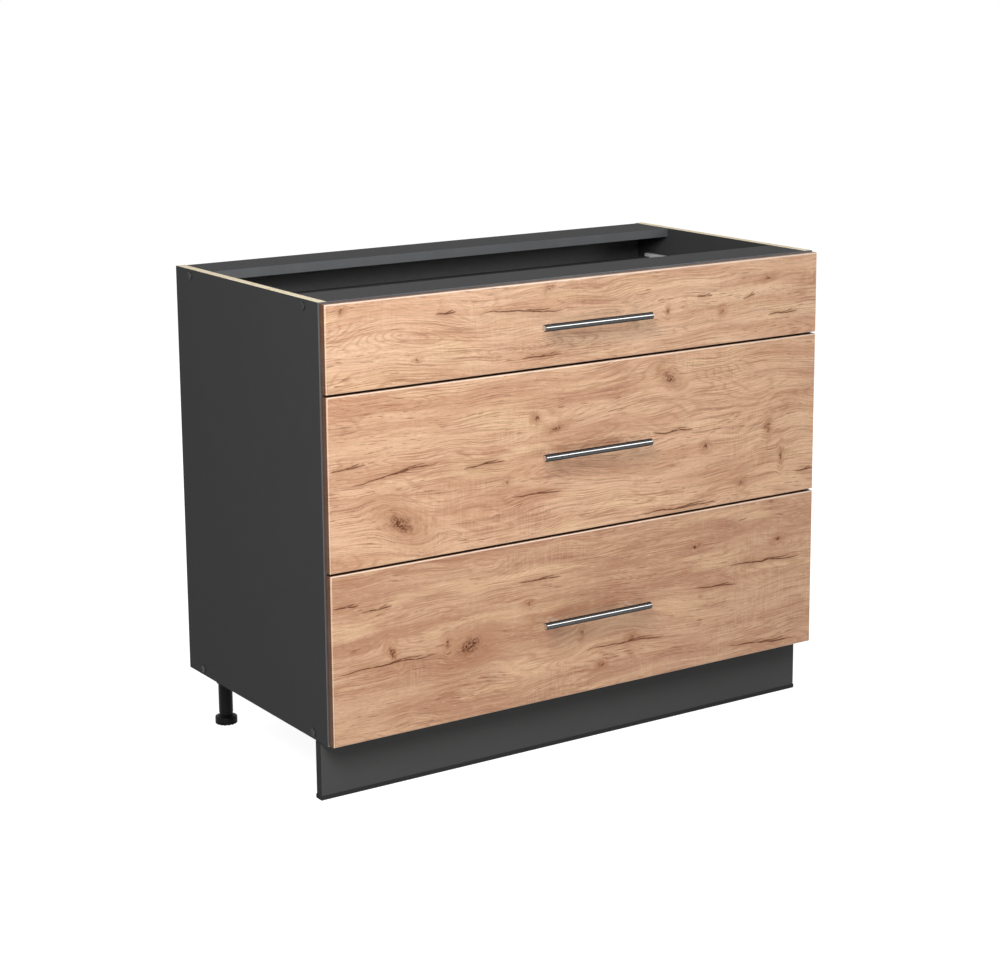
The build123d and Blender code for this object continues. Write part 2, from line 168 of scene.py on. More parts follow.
def check_group():
    """How dark a point is from one drying check: a thin line that tapers to both ends."""
    sizes = (("Point", "Vector"), ("Start", "Vector"), ("End", "Vector"), ("Width", "Float"))
    group, given = new_group("oak_check", sizes, ["Dark"])
    run = add(group, VECTOR, {0: given["End"], 1: given["Start"]}, operation="SUBTRACT")
    reach = add(group, VECTOR, {0: given["Point"], 1: given["Start"]}, operation="SUBTRACT")
    along = add(group, VECTOR, {0: reach, 1: run}, out="Value", operation="DOT_PRODUCT")
    whole = add(group, VECTOR, {0: run, 1: run}, out="Value", operation="DOT_PRODUCT")
    share = add(group, MATH, {0: along, 1: whole}, operation="DIVIDE", use_clamp=True)
    foot = add(group, VECTOR, {0: run, "Scale": share}, operation="SCALE")
    away = add(group, VECTOR, {0: reach, 1: foot}, out="Value", operation="DISTANCE")

    # The side runs from -1 to 1 along the check. Its fourth power narrows only the ends.
    side = add(group, MATH, {0: share, 1: 2.0, 2: -1.0}, operation="MULTIPLY_ADD")
    ends = add(group, MATH, {0: side, 1: 4.0}, operation="POWER")
    taper = add(group, MATH, {0: 1.05, 1: ends}, operation="SUBTRACT")
    width = add(group, MATH, {0: taper, 1: given["Width"]}, operation="MULTIPLY")
    fade = {"Value": away, 2: width, 3: 1.0, 4: 0.0}
    dark = add(group, RANGE, fade, interpolation_type="SMOOTHSTEP")
    add(group, "NodeGroupOutput", {"Dark": dark})
    return group


OAK_CHECK = check_group()
print(f"{len(OAK_CHECK.nodes)} nodes draw a check")


# %% A knot as a node group
def knot_group():
    """A knot's dark core, the brown stain round it and how far it pushes the grain aside."""
    sizes = (("Point", "Vector"), ("Centre", "Vector"), ("Size", "Vector"), ("Tilt", "Vector"))
    group, given = new_group("oak_knot", sizes, ["Core", "Stain", "Push"])
    turned = {
        "Vector": given["Point"],
        "Location": given["Centre"],
        "Rotation": given["Tilt"],
        "Scale": given["Size"],
    }
    local = add(group, "ShaderNodeMapping", turned, vector_type="TEXTURE")

    # Distances are counted in half sizes of the knot, so 1 is its rim.
    away = add(group, VECTOR, {0: local}, out="Value", operation="LENGTH")
    core = add(group, RANGE, {"Value": away, 1: 1.3, 2: 0.3}, interpolation_type="SMOOTHSTEP")
    stain = add(group, RANGE, {"Value": away, 1: 4.2, 2: 0.6}, interpolation_type="SMOOTHSTEP")
    reach = add(group, VECTOR, {0: given["Point"], 1: given["Centre"]}, operation="SUBTRACT")
    upward = add(group, "ShaderNodeSeparateXYZ", {0: reach}, out="Z")
    aside = add(group, MATH, {0: upward, 1: stain}, operation="MULTIPLY")
    add(group, "NodeGroupOutput", {"Core": core, "Stain": stain, "Push": aside})
    return group


OAK_KNOT = knot_group()
print(f"{len(OAK_KNOT.nodes)} nodes draw a knot")

# %% Where the checks and knots lie on each front
# All are in millimetres from the cabinet's middle and the floor. A check has the x and z of its start and of
# its end, and its width. A knot has x, z, half its length, half its height and its tilt in degrees. An arch
# of the growth rings has x, z, half its length and half its height. The tone is that of the pale wood and of
# the bands in it. From front to front it steps darker towards the floor: painted light on the top front and
# painted shade on the lower ones, as the film is the same on all three. The offset keeps the noise of one
# front apart from that of the others.
OAK_MARKS = {
    "top": {
        "tone": ("#efc6a3", "#cf9977"),
        "offset": (0, 0, 0),
        "checks": [
            (-298, 784, -259, 787, 2.0), (-206, 779, -50, 767, 1.6), (-134, 693, -52, 695, 1.5),
            (386, 717, 454, 719, 1.5), (227, 763, 262, 762, 1.7), (330, 752, 357, 755, 1.5),
        ],
        "knots": [
            (-333, 714, 4, 3, 0), (-78, 807, 6, 3, 0), (-470, 806, 4, 3, 0),
            (385, 782, 9, 3, 8), (166, 745, 3, 5, 0), (284, 733, 4, 4, 40),
        ],
        "arches": [(-330, 752, 120, 34), (-160, 722, 90, 20)],
    },
    "middle": {
        "tone": ("#eabf9b", "#c89271"),
        "offset": (1300, 0, 410),
        "checks": [
            (-495, 553, -431, 559, 2.0), (-457, 525, -295, 546, 1.9), (-248, 525, -167, 530, 2.0),
            (-154, 467, -55, 464, 1.7), (133, 536, 223, 533, 1.6), (110, 398, 277, 396, 1.9),
            (455, 429, 497, 427, 2.0),
        ],
        "knots": [
            (-368, 452, 26, 12, -34), (169, 631, 15, 7, -35), (-164, 492, 4, 4, 0),
            (-104, 592, 6, 4, -30), (250, 498, 5, 5, 0), (391, 515, 4, 9, 0), (421, 459, 3, 10, 0),
            (331, 424, 6, 4, 0), (-66, 570, 14, 4, 14),
        ],
        "arches": [(-150, 560, 200, 26), (330, 590, 190, 30)],
    },
    "bottom": {
        "tone": ("#d6ab89", "#b27f61"),
        "offset": (-900, 0, 870),
        "checks": [
            (-495, 331, -448, 333, 1.8), (-444, 320, -386, 319, 1.7), (-487, 221, -302, 226, 1.8),
            (-143, 319, -56, 315, 1.8), (305, 275, 470, 268, 1.9), (229, 247, 325, 238, 2.0),
            (-4, 175, 162, 174, 1.9), (308, 128, 459, 114, 1.8),
        ],
        "knots": [
            (-387, 241, 4, 13, 24), (-239, 227, 24, 14, 20), (-282, 238, 5, 8, 0), (-122, 279, 6, 4, 0),
            (229, 322, 10, 3, 0), (417, 308, 9, 4, 10), (93, 184, 6, 4, 0), (-14, 208, 3, 7, 0),
            (27, 144, 6, 4, 0),
        ],
        "arches": [(114, 326, 130, 30), (300, 300, 170, 26)],
    },
}
marks = sum(len(m["checks"]) + len(m["knots"]) for m in OAK_MARKS.values())
print(f"{marks} checks and knots are placed by hand")

# %% [markdown]
# ### From knots to film
# Wood grows round a branch, so its grain parts above and below a knot. The grain is worked out first, as
# a copy of each point's place that drifts up and down and is pushed aside by the knots. Every ring,
# streak and fibre is then drawn on that copy, so that they all bend together. A wave texture is a quicker
# way to draw rings, but its lines run too evenly for oak.

# %% Knots, and the grain that bends round them
# All in millimetres but for the push, which is a part of the way to the knot's middle. A knot goes deeper
# than the board, so that it looks the same on the rounded edge.
FILM_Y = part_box("top_drawer_front")[0].y / MM
BOARD_DEEP = 100.0
FRAY = 16.0
GRAIN_DRIFT = 75.0
GRAIN_PUSH = -0.6


def oak_knots(tree, point, offset, knots):
    """The torn dark cores of the knots, the stain round them and how far they push the grain."""
    ragged = speckle(tree, point, (7, 7, 7), 4.0)
    nudge = add(tree, MATH, {0: ragged, 1: FRAY, 2: -FRAY / 2}, operation="MULTIPLY_ADD")
    frayed = add(tree, VECTOR, {0: point, 1: nudge}, operation="ADD")
    core, stain, push = 0.0, 0.0, 0.0
    for x, z, half_length, half_height, tilt in knots:
        knot = {
            "Point": frayed,
            "Centre": (x, FILM_Y, z),
            "Size": (half_length, BOARD_DEEP, half_height),
            "Tilt": (0.0, math.radians(-tilt), 0.0),
        }
        seen = add(tree, "ShaderNodeGroup", knot, node_tree=OAK_KNOT).node.outputs
        core = add(tree, MATH, {0: core, 1: seen["Core"]}, operation="MAXIMUM")
        stain = add(tree, MATH, {0: stain, 1: seen["Stain"]}, operation="MAXIMUM")
        push = add(tree, MATH, {0: push, 1: seen["Push"]}, operation="ADD")
    torn = speckle(tree, point, (4.2, 4.2, 3.4), 3.0, offset)
    torn = add(tree, RANGE, {"Value": torn, 1: 0.42, 2: 0.58, 3: 0.22})
    core = add(tree, MATH, {0: core, 1: torn}, operation="MULTIPLY")
    return core, stain, push


def oak_grain(tree, point, offset, push):
    """A point's place along the grain, which drifts over a hand's width and goes round each knot."""
    parts = add(tree, "ShaderNodeSeparateXYZ", {0: point}).node.outputs
    drift = speckle(tree, point, (330, 330, 150), 2.0, offset)
    lifted = add(tree, MATH, {0: drift, 1: GRAIN_DRIFT, 2: parts["Z"]}, operation="MULTIPLY_ADD")
    across = add(tree, MATH, {0: push, 1: GRAIN_PUSH, 2: lifted}, operation="MULTIPLY_ADD")
    return add(tree, "ShaderNodeCombineXYZ", {0: parts["X"], 1: parts["Y"], 2: across})


print(f"the film lies {-FILM_Y:.1f} mm in front of the cabinet's middle")

# %% Growth rings
# Turns are radians of the rings over the whole range of the noise, and the rise of an arch is a part of that
# range. Its lift is in millimetres, and its reach in half sizes of the arch.
RING_TURNS = 230.0
ARCH_RISE = 0.16
ARCH_LIFT = 30
ARCH_REACH = 1.6


def oak_rings(tree, grain, offset, arches):
    """Growth rings: contour lines of a long soft noise, with a hill under each cathedral arch."""
    hill = speckle(tree, grain, (520, 520, 95), 2.0, offset)
    arched = 0.0
    for x, z, half_length, half_height in arches:
        near = {
            "Vector": grain,
            "Location": (x, FILM_Y, z + ARCH_LIFT),
            "Scale": (half_length, BOARD_DEEP, half_height),
        }
        local = add(tree, "ShaderNodeMapping", near, vector_type="TEXTURE")
        away = add(tree, VECTOR, {0: local}, out="Value", operation="LENGTH")
        slope = {"Value": away, 1: ARCH_REACH, 2: 0.0, 4: ARCH_RISE}
        rise = add(tree, RANGE, slope, interpolation_type="SMOOTHSTEP")
        hill = add(tree, MATH, {0: hill, 1: rise}, operation="ADD")
        arched = add(tree, MATH, {0: arched, 1: rise}, operation="ADD")
    turns = add(tree, MATH, {0: hill, 1: RING_TURNS}, operation="MULTIPLY")
    wave = add(tree, MATH, {0: turns}, operation="SINE")
    rings = add(tree, RANGE, {"Value": wave, 1: 0.2, 2: 1.0})

    # The rings show at the arches, and elsewhere only in some patches.
    patch = speckle(tree, grain, (260, 260, 60), 1.0, (offset[0] + 90, 0, offset[2]))
    shown = add(tree, RANGE, {"Value": patch, 1: 0.42, 2: 0.60}, interpolation_type="SMOOTHSTEP")
    shown = add(tree, MATH, {0: arched, 1: 7.0, 2: shown}, operation="MULTIPLY_ADD", use_clamp=True)
    return add(tree, MATH, {0: rings, 1: shown}, operation="MULTIPLY")


print(f"about {ARCH_RISE * RING_TURNS / math.tau:.0f} rings climb each arch")

# %% Bands, streaks, ticks and fibres
# Each layer has the size of its blotches on the real film, its detail, the noise at which it starts to show
# and at which it is full, and a shift that keeps it apart from the others. The fibres are half a millimetre
# wide on the real film, and are drawn three times as wide to show.
FIGURE = {
    "bands": ((330, 330, 34), 3.0, 0.42, 0.62, 0.0),
    "cream": ((240, 240, 40), 2.0, 0.50, 0.66, 700.0),
    "streaks": ((170, 170, 5.0), 3.0, 0.48, 0.70, 130.0),
    "lines": ((120, 120, 1.8), 2.0, 0.46, 0.64, 770.0),
    "combed": ((150, 150, 45), 1.0, 0.40, 0.58, 950.0),
    "ticks": ((26, 26, 2.2), 1.0, 0.61, 0.72, 410.0),
    "ticked": ((130, 130, 36), 1.0, 0.42, 0.58, 560.0),
    "fibre": ((24, 24, 1.5), 2.0, 0.42, 0.66, 0.0),
    "pores": ((9, 9, 1.6), 1.0, 0.58, 0.74, 240.0),
    "gleam": ((20, 20, 2.2), 2.0, 0.54, 0.70, 900.0),
}
SAW_MARKS = {
    "saw": ((3.2, 3.2, 40), 2.0, 0.40, 0.66, 0.0),
    "sawn": ((170, 170, 80), 1.0, 0.52, 0.62, 330.0),
}


def oak_figure(tree, where, offset, layers):
    """How much of each layer shows at a point, from 0 to 1."""
    shown = {}
    for name, (size, detail, low, high, shift) in layers.items():
        moved = (offset[0] + shift, 0, offset[2] - shift)
        cloud = speckle(tree, where, size, detail, moved, 0.6)
        limits = {"Value": cloud, 1: low, 2: high}
        shown[name] = add(tree, RANGE, limits, interpolation_type="SMOOTHSTEP")
    return shown


print(f"{len(FIGURE)} layers follow the grain, {len(SAW_MARKS)} stand upright across it")

# %% Drying checks
# The shares are of a check's own width. A split leaves its check and ends at parts of the check's run. Its
# rise and the waver are in millimetres.
CHECK_SHARE = 1.15
SHADE_SHARE = 6.6
SPLIT_SHARE = 0.8
SPLIT_FROM = 0.4
SPLIT_TO = 0.85
SPLIT_RISE = 5
WAVER = 16.0


def oak_checks(tree, point, offset, checks):
    """Checks that waver and break up, each with a thin split, and the browner wood round them."""
    waver = speckle(tree, point, (60, 60, 60), 2.0, offset)
    swing = add(tree, MATH, {0: waver, 1: WAVER, 2: -WAVER / 2}, operation="MULTIPLY_ADD")
    bend = add(tree, "ShaderNodeCombineXYZ", {2: swing})
    wandering = add(tree, VECTOR, {0: point, 1: bend}, operation="ADD")
    dark, shade = 0.0, 0.0
    for x0, z0, x1, z1, width in checks:
        start = Vector((x0, FILM_Y, z0))
        end = Vector((x1, FILM_Y, z1))
        fork = start.lerp(end, SPLIT_FROM)
        tip = start.lerp(end, SPLIT_TO) + Vector((0, 0, SPLIT_RISE))
        strokes = []
        runs = ((start, end, CHECK_SHARE), (fork, tip, SPLIT_SHARE), (start, end, SHADE_SHARE))
        for first, last, share in runs:
            stroke = {"Point": wandering, "Start": first, "End": last, "Width": share * width}
            strokes.append(add(tree, "ShaderNodeGroup", stroke, node_tree=OAK_CHECK))
        for line in strokes[:2]:
            dark = add(tree, MATH, {0: dark, 1: line}, operation="MAXIMUM")
        shade = add(tree, MATH, {0: shade, 1: strokes[2]}, operation="MAXIMUM")
    broken = speckle(tree, point, (11, 11, 5), 3.0, offset)
    broken = add(tree, RANGE, {"Value": broken, 1: 0.32, 2: 0.49, 3: 0.4})
    dark = add(tree, MATH, {0: dark, 1: broken}, operation="MULTIPLY")
    return dark, shade


print(f"a split climbs {SPLIT_RISE} mm away from its check")


# %% The oak film
def rustic_oak(name, tone, offset, checks, knots, arches):
    """Printed oak film with a satin lacquer: warm, slightly uneven, with fine grain that catches light."""
    made = new_material(name)
    tree = made.node_tree
    point = place_mm(tree)
    core, stain, push = oak_knots(tree, point, offset, knots)
    grain = oak_grain(tree, point, offset, push)
    rings = oak_rings(tree, grain, offset, arches)
    dark, shade = oak_checks(tree, point, offset, checks)
    seen = oak_figure(tree, grain, offset, FIGURE)
    seen.update(oak_figure(tree, point, offset, SAW_MARKS))
    combed = add(tree, RANGE, {"Value": seen["combed"], 3: 0.35})
    lines = add(tree, MATH, {0: seen["lines"], 1: combed}, operation="MULTIPLY")
    ticks = add(tree, MATH, {0: seen["ticks"], 1: seen["ticked"]}, operation="MULTIPLY")
    saw = add(tree, MATH, {0: seen["saw"], 1: seen["sawn"]}, operation="MULTIPLY")

    # Painted highlight: on the rounded edge the film is mixed towards a pale cream, more so where the
    # rounding faces up and light would catch it. Painted shade: the narrow sides are a plain dark brown,
    # which also darkens the gaps between the fronts.
    facing = add(tree, "ShaderNodeTexCoord", out="Normal")
    ways = add(tree, "ShaderNodeSeparateXYZ", {0: facing}).node.outputs
    # edge marks the faces that don't look forward: the narrow sides, the top and the bottom. They get a dark
    # brown, a painted shade that also darkens the gaps between the fronts.
    edge = add(tree, RANGE, {"Value": ways["Y"], 1: -0.3, 2: -0.05})
    painted_edge_highlight = add(tree, MATH, {0: ways["Y"], 1: -0.62, 2: 0.28}, operation="COMPARE")
    painted_top_highlight = add(tree, MATH, {0: ways["Z"], 1: 0.58, 2: 0.32}, operation="COMPARE")
    tints = (
        (seen["bands"], tone[1], 0.64),
        (seen["cream"], "#f4cfa4", 0.5),
        (seen["streaks"], "#b27c5c", 0.40),
        (lines, "#945c3c", 0.62),
        (rings, "#a86e49", 0.35),
        (seen["fibre"], "#aa7150", 0.20),
        (seen["pores"], "#9a6344", 0.30),
        (seen["gleam"], "#ffe4c4", 0.24),
        (saw, "#ffe0b8", 0.13),
        (shade, "#a8744f", 0.40),
        (stain, "#a86f49", 0.50),
        (ticks, "#82492a", 0.65),
        (core, "#5c2f15", 0.95),
        (dark, "#552509", 0.95),
        # The last three are painted light: pale highlights on the rounded edges and the upward rounding, and
        # a dark brown painted shade on the narrow sides.
        (painted_edge_highlight, "#ffe6cc", 0.45),
        (painted_top_highlight, "#fff0e0", 0.45),
        (edge, "#4e2a12", 0.90),
    )
    colour = srgb(tone[0])
    for amount, code, strength in tints:
        share = add(tree, MATH, {0: amount, 1: strength}, operation="MULTIPLY")
        mixed = {0: share, MIX_A: colour, MIX_B: srgb(code)}
        colour = add(tree, MIX, mixed, out=MIX_COLOUR, data_type="RGBA")

    # The dark marks are pressed into the film and hardly shine. Nor do the narrow sides.
    dull = add(tree, MATH, {0: dark, 1: core}, operation="MAXIMUM")
    dull = add(tree, MATH, {0: dull, 1: edge}, operation="MAXIMUM")
    height = add(tree, MATH, {0: seen["fibre"], 1: dark}, operation="SUBTRACT")
    relief = {"Height": height, "Strength": 0.12, "Distance": 0.2 * MM}
    bsdf = {
        "Base Color": colour,
        "Roughness": add(tree, RANGE, {"Value": seen["fibre"], 3: 0.30, 4: 0.42}),
        "Specular IOR Level": add(tree, RANGE, {"Value": dull, 3: 0.5, 4: 0.1}),
        "Normal": add(tree, "ShaderNodeBump", relief),
        "IOR": 1.48,
    }
    surface = add(tree, "ShaderNodeBsdfPrincipled", bsdf)
    add(tree, "ShaderNodeOutputMaterial", {"Surface": surface})
    return made


oak = {name: rustic_oak(f"oak_film_{name}", **OAK_MARKS[name]) for name in DRAWERS}
print({name: len(m.node_tree.nodes) for name, m in oak.items()}, "nodes in the oak films")

# %% [markdown]
# ## Boards, metal and plastic
# The carcass is chipboard with an anthracite paper pressed on it in melamine resin. The press plate
# leaves a fine pearl in it, so it never shines as a mirror does. Edges that a worktop or a wall hides
# are left raw, and show the pale chips. The rest are factory finishes: powder coat on the drawer
# sides, zinc on the screws, moulded nylon and ABS. Most of them differ only in colour, gloss and the
# size of their texture, so one function makes them and each gets its own numbers.

# %% Even factory finishes, first on the boards
def factory_finish(name, code, other, blotch, share, rough, grit, relief, **shader):
    """A base colour with faint blotches of another, and a fine relief of the given grit size."""
    made = new_material(name)
    tree = made.node_tree
    point = place_mm(tree)
    cloud = speckle(tree, point, blotch, 3.0)
    amount = add(tree, RANGE, {"Value": cloud, 1: 0.35, 2: 0.65, 4: share})
    mixed = {0: amount, MIX_A: srgb(code), MIX_B: srgb(other)}
    colour = add(tree, MIX, mixed, out=MIX_COLOUR, data_type="RGBA")
    gloss = add(tree, RANGE, {"Value": cloud, 3: rough - 0.04, 4: rough + 0.04})
    pearl = speckle(tree, point, grit, 1.0)
    bump = add(tree, "ShaderNodeBump", {"Height": pearl, "Strength": relief, "Distance": 0.2 * MM})
    bsdf = {"Base Color": colour, "Roughness": gloss, "Normal": bump, **shader}
    surface = add(tree, "ShaderNodeBsdfPrincipled", bsdf)
    add(tree, "ShaderNodeOutputMaterial", {"Surface": surface})
    return made


# Pearl, orange peel and moulded grain are a few tenths of a millimetre across on the real surfaces.
# They are drawn two or three times as coarse here, so that a render of the whole cabinet shows them.
MATT = {"IOR": 1.2, "Specular IOR Level": 0.15}
PEARL = (1.3, 1.3, 1.3)

# Paper pressed on in melamine resin: dark, even and matt, with no clear reflection.
melamine = factory_finish(
    "anthracite_melamine", "#424243", "#444445",
    blotch=(60, 60, 60), share=0.8, rough=0.68, grit=PEARL, relief=0.16, **MATT,
)
# The plinth has the carcass's anthracite paper, set a shade lighter to make up for the shade it sits in
# under the fronts: painted light. It is a little cloudy along its length.
plinth_melamine_painted_light = factory_finish(
    "plinth_melamine_painted_light", "#505050", "#525252",
    blotch=(90, 90, 40), share=0.8, rough=0.68, grit=PEARL, relief=0.16, **MATT,
)
# The rear of the fronts has a plain pale paper, with a soft shine.
pale_melamine = factory_finish(
    "pale_melamine", "#d9d4c9", "#d3cdc1",
    blotch=(80, 80, 80), share=0.8, rough=0.44, grit=PEARL, relief=0.12, IOR=1.45,
)
# Lacquer rolled on hardboard is thin, and the fibres under it cloud it. Its grey is set lighter than the
# carcass's paper so that the shaded inside of the cabinet reads brighter: painted light.
dark_lacquer = factory_finish(
    "dark_lacquered_hardboard", "#5b5c5d", "#626364",
    blotch=(30, 30, 12), share=0.9, rough=0.52, grit=(2, 2, 2), relief=0.12, IOR=1.45,
)
# Extruded ABS edging is smoother than the paper, so it catches a pale line of light. Its grey is a step
# lighter than the paper, partly painted light, so that the shaded front of the rear rail reads bright.
edging = factory_finish(
    "abs_edging", "#606265", "#656769",
    blotch=(40, 40, 40), share=0.8, rough=0.34, grit=(1.0, 1.0, 1.0), relief=0.06, IOR=1.5,
)
# The plinth's ends are darker and duller than its face: painted shade on the narrow ends.
plinth_end_painted_shade = factory_finish(
    "plinth_end_painted_shade", "#2c2c2d", "#313132",
    blotch=(40, 40, 40), share=0.8, rough=0.5, grit=(1.0, 1.0, 1.0), relief=0.06, **MATT,
)
print("six finishes for boards and their edges")

# %% Metals and coatings
# Powder coat flows out to a soft gloss with a fine orange peel.
powder_coat = factory_finish(
    "grey_powder_coat", "#cfd1d3", "#c9cbcd",
    blotch=(50, 50, 50), share=0.7, rough=0.36, grit=(1.6, 1.6, 1.6), relief=0.10, IOR=1.5,
)
# Zinc plate is a bright metal in patches of slightly different grey.
zinc = factory_finish(
    "zinc_plate", "#b9bdc2", "#a4a8ae",
    blotch=(5, 5, 5), share=0.9, rough=0.30, grit=(0.9, 0.9, 0.9), relief=0.06, Metallic=1.0,
)
# Polished steel: a mirror drawn out along the bar, with one white line of light in it. Its colour and the
# tint of its reflections are made dark, a painted dark reflection of surroundings that the white studio
# doesn't have.
handle_steel = factory_finish(
    "polished_dark_steel", "#535353", "#4d4d4d",
    blotch=(60, 3, 3), share=0.8, rough=0.13, grit=(40, 0.6, 0.6), relief=0.02,
    **{"Metallic": 1.0, "Specular Tint": srgb("#8c8c8c")},
)
# The posts and the bars' end faces are the handle's steel made pale: a painted highlight against the dark
# bar, with a broad soft shine.
painted_bright_steel = factory_finish(
    "painted_bright_steel", "#e2ddd8", "#d8d3ce",
    blotch=(20, 20, 20), share=0.8, rough=0.44, grit=(0.6, 8, 0.6), relief=0.02, Metallic=1.0,
)
print("three metals and a powder coat")

# %% Plastics
# Nylon rollers are milky, with soft highlights.
nylon = factory_finish(
    "moulded_nylon", "#d8d6ce", "#d2cfc5",
    blotch=(6, 6, 6), share=0.8, rough=0.42, grit=(0.8, 0.8, 0.8), relief=0.05, IOR=1.53,
)
# The caps are smooth, and show a small highlight on the rim.
cap_plastic = factory_finish(
    "cap_plastic", "#242425", "#29292a",
    blotch=(6, 6, 6), share=0.8, rough=0.30, grit=(0.8, 0.8, 0.8), relief=0.05, IOR=1.22,
)
# Legs, feet and sockets are moulded with a fine grain that leaves hardly any shine on the black.
black_abs = factory_finish(
    "black_abs", "#0e0e0f", "#121213",
    blotch=(12, 12, 12), share=0.8, rough=0.46, grit=(0.9, 0.9, 0.9), relief=0.10, IOR=1.2,
)
# The lip under the plinth is soft PVC, drawn through a die that leaves fine lines along it.
seal_pvc = factory_finish(
    "seal_pvc", "#333334", "#383839",
    blotch=(60, 20, 4), share=0.8, rough=0.55, grit=(2, 2, 0.6), relief=0.08, **MATT,
)
print("four plastics")


# %% Raw board: chips on the cut edges, fibres on the back
def raw_board(name, chip, codes, rough):
    """Bare pressed wood: each chip or fibre bundle has its own tone, and nothing shines."""
    made = new_material(name)
    tree = made.node_tree
    point = place_mm(tree)
    ragged = speckle(tree, point, (3, 3, 3), 2.0)
    frayed = add(tree, VECTOR, {0: point, 1: ragged}, operation="ADD")
    scaled = add(tree, VECTOR, {0: frayed, 1: chip}, operation="DIVIDE")
    cell = add(tree, "ShaderNodeTexVoronoi", {"Vector": scaled, "Scale": 1.0}, out="Color")
    tone = add(tree, "ShaderNodeSeparateColor", {0: cell})
    colour = srgb(codes[0])
    dark = add(tree, RANGE, {"Value": tone, 1: 0.35, 2: 1.0})
    gap = speckle(tree, point, (4, 4, 1.5), 2.0)
    gaps = add(tree, RANGE, {"Value": gap, 1: 0.6, 2: 0.75})
    for amount, code in ((dark, codes[1]), (gaps, codes[2])):
        mixed = {0: amount, MIX_A: colour, MIX_B: srgb(code)}
        colour = add(tree, MIX, mixed, out=MIX_COLOUR, data_type="RGBA")
    bump = add(tree, "ShaderNodeBump", {"Height": tone, "Strength": 0.3, "Distance": 0.3 * MM})
    bsdf = {"Base Color": colour, "Roughness": rough, "Normal": bump, "Specular IOR Level": 0.25}
    surface = add(tree, "ShaderNodeBsdfPrincipled", bsdf)
    add(tree, "ShaderNodeOutputMaterial", {"Surface": surface})
    return made


chipboard = raw_board("raw_chipboard", (5, 5, 1.6), ("#f6ead0", "#e2cfa8", "#bb9f74"), 0.85)
hardboard = raw_board("raw_hardboard", (7, 2, 5), ("#8a6846", "#80603f", "#755636"), 0.7)
print("raw chipboard and hardboard")

# %% [markdown]
# ## Dress the frame
# A node of the frame whose shape is right only needs a finish. Which finish goes where is in the
# record, which names a material slot for each node. The boards get a second material on the faces
# where the saw went through, picked by which way each face points.

# %% Give every node its finish
FINISHES = {
    "anthracite_board": melamine,
    "anthracite_edging": edging,
    "dark_hardboard": dark_lacquer,
    "oak_decor_front": oak["top"],
    "handle_steel": handle_steel,
    "grey_coated_steel": powder_coat,
    "zinc_steel": zinc,
    "white_nylon": nylon,
    "dark_cap": cap_plastic,
    "black_plastic": black_abs,
    "plinth_board": plinth_melamine_painted_light,
    "dark_seal": seal_pvc,
}
slot_of = {row["node"]: row["material_slot"] for row in frame["record"]["subparts"]}
for name, node in nodes.items():
    node.data.materials.clear()
    node.data.materials.append(FINISHES[slot_of[name]])


# A face looks along an axis when this much of its normal does, and a board's skin is this thin.
FACING = 0.9
SKIN = 0.05 * MM


def bare_faces(name, finish, is_bare):
    """Give a second finish to the faces of a node that the test picks."""
    mesh = nodes[name].data
    mesh.materials.append(finish)
    low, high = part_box(name)
    count = 0
    for face in mesh.polygons:
        if is_bare(face.normal, face.center, low, high):
            face.material_index = 1
            count += 1
    return count


def sawn_side(normal, centre, low, high):
    """All of a side panel but its two large faces."""
    on_skin = min(centre.x - low.x, high.x - centre.x) < SKIN
    return not (abs(normal.x) > FACING and on_skin)


def sawn_ends(normal, centre, low, high):
    """The ends and the rear edge of a flat board, whose front edge is covered."""
    return abs(normal.z) < 0.5 and not normal.y < -FACING


bare = [bare_faces(name, chipboard, sawn_side) for name in ("left_side_panel", "right_side_panel")]
bare += [bare_faces(name, chipboard, sawn_ends) for name in ("bottom_panel", "front_top_rail")]
bare.append(bare_faces("back_panel", hardboard, lambda normal, *rest: normal.y > FACING))
# The rear rail's front face takes the edging: an edge band whose lighter grey is partly painted light.
bare_faces("rear_top_rail", edging, lambda normal, *rest: normal.y < -FACING)
# Painted shade on the plinth's ends.
bare_faces("plinth_board", plinth_end_painted_shade, lambda normal, *rest: abs(normal.x) > FACING)
print(f"{sum(bare)} sawn faces left raw")

# %% [markdown]
# ## Turned pieces and copies
# Handles, feet, rollers and screw heads are turned or moulded round. The frame draws them with flat
# sides to stay light, so each is turned again here with enough sides to look round, and replaces its
# node. What comes in sets is drawn once, one unit wide, and a Geometry Nodes tree puts a copy on
# every point of a set, facing the way that its solid in the frame does.

# %% Helpers for meshes
SHARP = math.radians(32)


def turned(profile, sides, ring=False):
    """A shape turned about Z from radius and height pairs; with ring, the last pair meets the first."""
    shape = bmesh.new()
    angles = [2 * math.pi * i / sides for i in range(sides)]
    hoops = []
    for radius, height in profile:
        around = angles if radius else [0.0]
        places = [(radius * math.cos(a), radius * math.sin(a), height) for a in around]
        hoops.append([shape.verts.new(place) for place in places])
    pairs = list(zip(hoops, hoops[1:]))
    if ring:
        pairs.append((hoops[-1], hoops[0]))
    for lower, upper in pairs:
        for i in range(sides):
            j = (i + 1) % sides
            corners = [lower[i % len(lower)], lower[j % len(lower)]]
            corners += [upper[j % len(upper)], upper[i % len(upper)]]
            shape.faces.new(dict.fromkeys(corners))
    bmesh.ops.recalc_face_normals(shape, faces=shape.faces)
    return shape


def mesh_of(shape, name, *finishes):
    """Turn a bmesh into a mesh, smooth but for its sharp corners."""
    mesh = bpy.data.meshes.new(name)
    shape.to_mesh(mesh)
    shape.free()
    for finish in finishes:
        mesh.materials.append(finish)
    mesh.shade_smooth()
    mesh.set_sharp_from_angle(angle=SHARP)
    return mesh


def on_stage(name, mesh):
    made = bpy.data.objects.new(name, mesh)
    bpy.context.scene.collection.objects.link(made)
    return made


